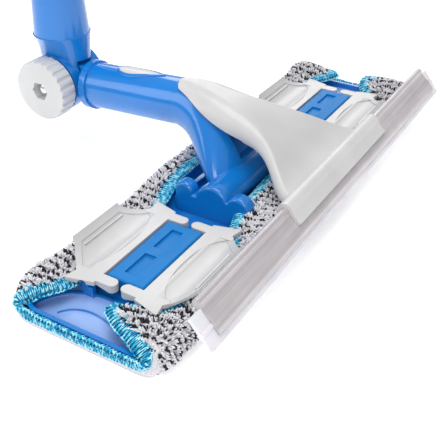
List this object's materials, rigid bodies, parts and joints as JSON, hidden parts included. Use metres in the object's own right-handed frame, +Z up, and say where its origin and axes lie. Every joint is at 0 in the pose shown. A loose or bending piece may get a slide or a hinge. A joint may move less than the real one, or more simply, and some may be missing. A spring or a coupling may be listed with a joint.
{
  "type": "flat mop head with squeegee",
  "caption": "Flat clip-on microfibre mop head with pedal-opened clamps, a squeegee arm and a tilting pole socket locked by a knob.",
  "frame": {"origin": "middle of the pad's underside, on the floor", "axes": "+X along the head and the squeegee, +Y towards the tilt joint and its knob, +Z up"},
  "size_m": [0.35, 0.2392, 0.126],
  "materials": {
    "pad_pile": "microfibre pile, white with black streaks",
    "pad_lining": "woven backing",
    "hem_thread": "overlocked cyan thread",
    "plate_plastic": "pale blue moulding",
    "blue_plastic": "glossy blue moulding",
    "grey_plastic": "satin light grey moulding",
    "knob_plastic": "satin off-white moulding",
    "channel_metal": "satin warm grey extrusion",
    "blade_rubber": "pale rubber",
    "steel": "bright zinc plate",
    "fibre": "friction fibre"
  },
  "bodies": {
    "head": {"pad_cloth": "pad_pile", "pad_backing": "pad_lining", "pad_hem": "hem_thread", "base_plate": "plate_plastic", "flap_hinge_rods": "steel", "hinge_cradle": "blue_plastic", "hinge_pin": "steel", "cradle_screws": "steel", "leaf_spring_near": "steel", "leaf_spring_far": "steel"},
    "neck": {"neck": "blue_plastic", "neck_badge": "grey_plastic", "squeegee_arm": "grey_plastic", "squeegee_channel": "channel_metal", "squeegee_blade": "blade_rubber"},
    "pole_socket": {"pole_yoke": "blue_plastic", "pivot_bolt": "steel", "friction_washers": "fibre", "pivot_washer": "steel"},
    "knob": {"locking_knob": "knob_plastic", "knob_nut": "steel"},
    "button_near": {"pedal_button_near": "blue_plastic"},
    "flap_near_left": {"flap_near_left": "grey_plastic"},
    "flap_near_right": {"flap_near_right": "grey_plastic"},
    "button_far": {"pedal_button_far": "blue_plastic"},
    "flap_far_left": {"flap_far_left": "grey_plastic"},
    "flap_far_right": {"flap_far_right": "grey_plastic"}
  },
  "joints": [
    {"name": "head_hinge", "type": "hinge", "parent": "head", "child": "neck", "pos_m": [0, 0, 0.0182], "axis": [1, 0, 0], "range_deg": [-10, 7]},
    {"name": "pole_tilt", "type": "hinge", "parent": "neck", "child": "pole_socket", "pos_m": [0, 0.151, 0.0484], "axis": [1, 0, 0], "range_deg": [-95, 5]},
    {"name": "knob_turn", "type": "hinge", "parent": "pole_socket", "child": "knob", "pos_m": [-0.022, 0.151, 0.0484], "axis": [1, 0, 0], "range_deg": [0, 180]},
    {"name": "button_near_press", "type": "slide", "parent": "head", "child": "button_near", "axis": [0, 0, -1], "range_m": [0, 0.0032], "stiffness_N_per_m": 3000, "deforming": ["leaf_spring_near"]},
    {"name": "flap_near_left_open", "type": "hinge", "parent": "head", "child": "flap_near_left", "pos_m": [-0.1063, 0.02, 0.016], "axis": [1, 0, 0], "range_deg": [0, 18.5]},
    {"name": "flap_near_right_open", "type": "hinge", "parent": "head", "child": "flap_near_right", "pos_m": [-0.1063, -0.02, 0.016], "axis": [-1, 0, 0], "range_deg": [0, 18.5]},
    {"name": "button_far_press", "type": "slide", "parent": "head", "child": "button_far", "axis": [0, 0, -1], "range_m": [0, 0.0032], "stiffness_N_per_m": 3000, "deforming": ["leaf_spring_far"]},
    {"name": "flap_far_left_open", "type": "hinge", "parent": "head", "child": "flap_far_left", "pos_m": [0.1063, 0.02, 0.016], "axis": [1, 0, 0], "range_deg": [0, 18.5]},
    {"name": "flap_far_right_open", "type": "hinge", "parent": "head", "child": "flap_far_right", "pos_m": [0.1063, -0.02, 0.016], "axis": [-1, 0, 0], "range_deg": [0, 18.5]}
  ],
  "couplings": [
    {"joint": "flap_near_left_open", "follows": "button_near_press", "rad_per_m": 98.175},
    {"joint": "flap_near_right_open", "follows": "button_near_press", "rad_per_m": 98.175},
    {"joint": "flap_far_left_open", "follows": "button_far_press", "rad_per_m": 98.175},
    {"joint": "flap_far_right_open", "follows": "button_far_press", "rad_per_m": 98.175}
  ]
}
